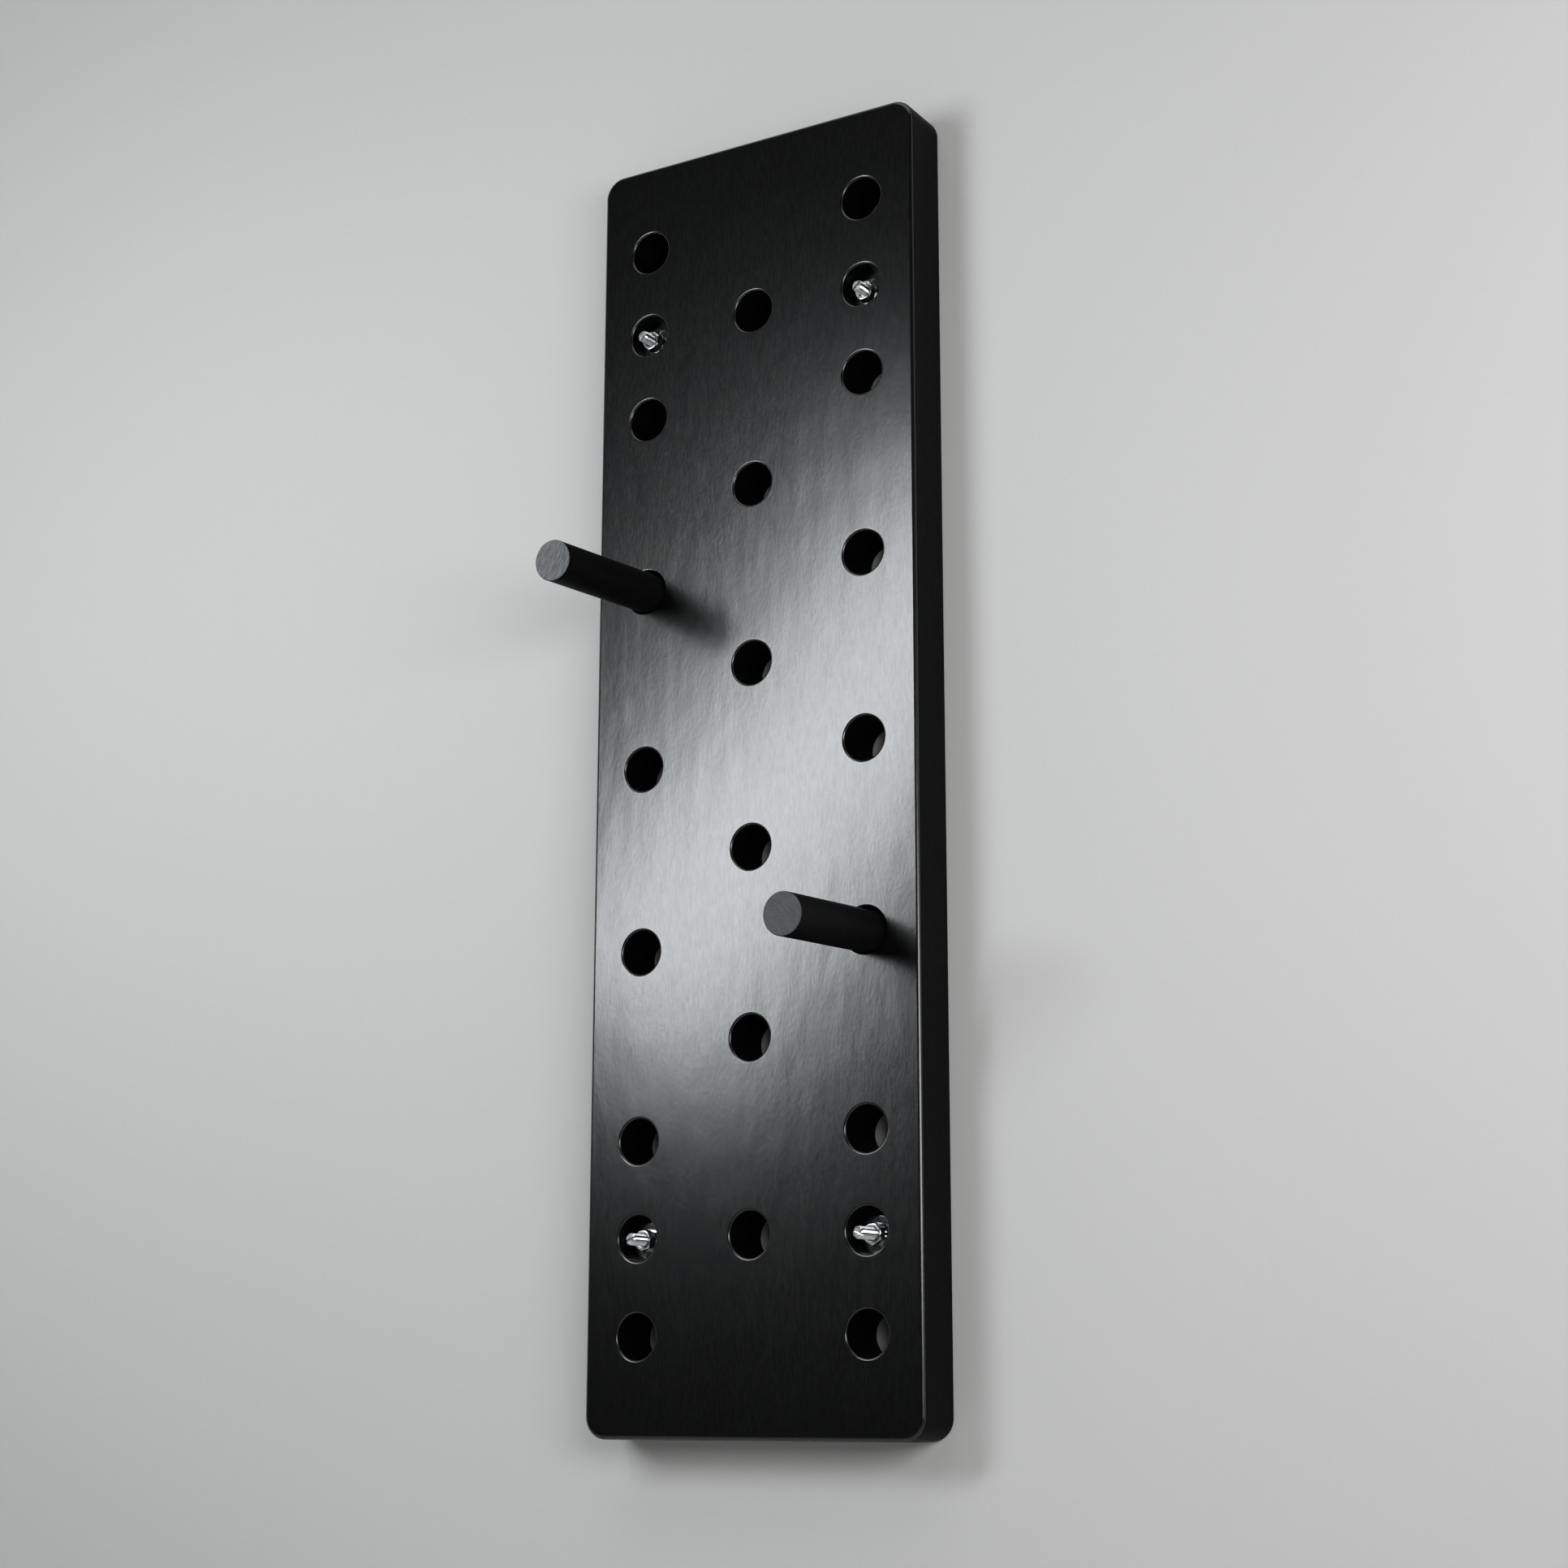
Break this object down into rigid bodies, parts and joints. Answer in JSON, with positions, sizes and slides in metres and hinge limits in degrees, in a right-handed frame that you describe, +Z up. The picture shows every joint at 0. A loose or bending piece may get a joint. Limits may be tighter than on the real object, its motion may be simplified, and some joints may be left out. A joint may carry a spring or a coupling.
{
  "type": "climbing pegboard",
  "caption": "Tall wall-mounted board drilled with staggered peg holes for climbing, with loose round pegs in it and recessed expansion anchors that fasten it to the wall.",
  "frame": {"origin": "centre of the board's back face, which lies flat on the wall", "axes": "+Z up along the board, -Y out of the wall towards the climber, +X to the right as seen from the front"},
  "size_m": [0.256, 0.2065, 0.9],
  "materials": {
    "board_lacquer": "satin black lacquer over wood with a fine upright grain",
    "peg_stain": "matt black stained wood",
    "plated_steel": "bright zinc plated"
  },
  "bodies": {
    "wall_board": {"board": "board_lacquer", "anchor_stud_upper_left": "plated_steel", "anchor_sleeve_upper_left": "plated_steel", "flat_washer_upper_left": "plated_steel", "lock_washer_upper_left": "plated_steel", "hex_nut_upper_left": "plated_steel", "anchor_stud_upper_right": "plated_steel", "anchor_sleeve_upper_right": "plated_steel", "flat_washer_upper_right": "plated_steel", "lock_washer_upper_right": "plated_steel", "hex_nut_upper_right": "plated_steel", "anchor_stud_lower_left": "plated_steel", "anchor_sleeve_lower_left": "plated_steel", "flat_washer_lower_left": "plated_steel", "lock_washer_lower_left": "plated_steel", "hex_nut_lower_left": "plated_steel", "anchor_stud_lower_right": "plated_steel", "anchor_sleeve_lower_right": "plated_steel", "flat_washer_lower_right": "plated_steel", "lock_washer_lower_right": "plated_steel", "hex_nut_lower_right": "plated_steel"},
    "left_peg": {"peg_left": "peg_stain"},
    "right_peg": {"peg_right": "peg_stain"}
  },
  "joints": [
    {"name": "left_peg_slide", "type": "slide", "parent": "wall_board", "child": "left_peg", "axis": [0, -0.9983, -0.0583], "range_m": [0, 0.06]},
    {"name": "right_peg_slide", "type": "slide", "parent": "wall_board", "child": "right_peg", "axis": [0, -0.999, -0.0446], "range_m": [0, 0.06]}
  ]
}
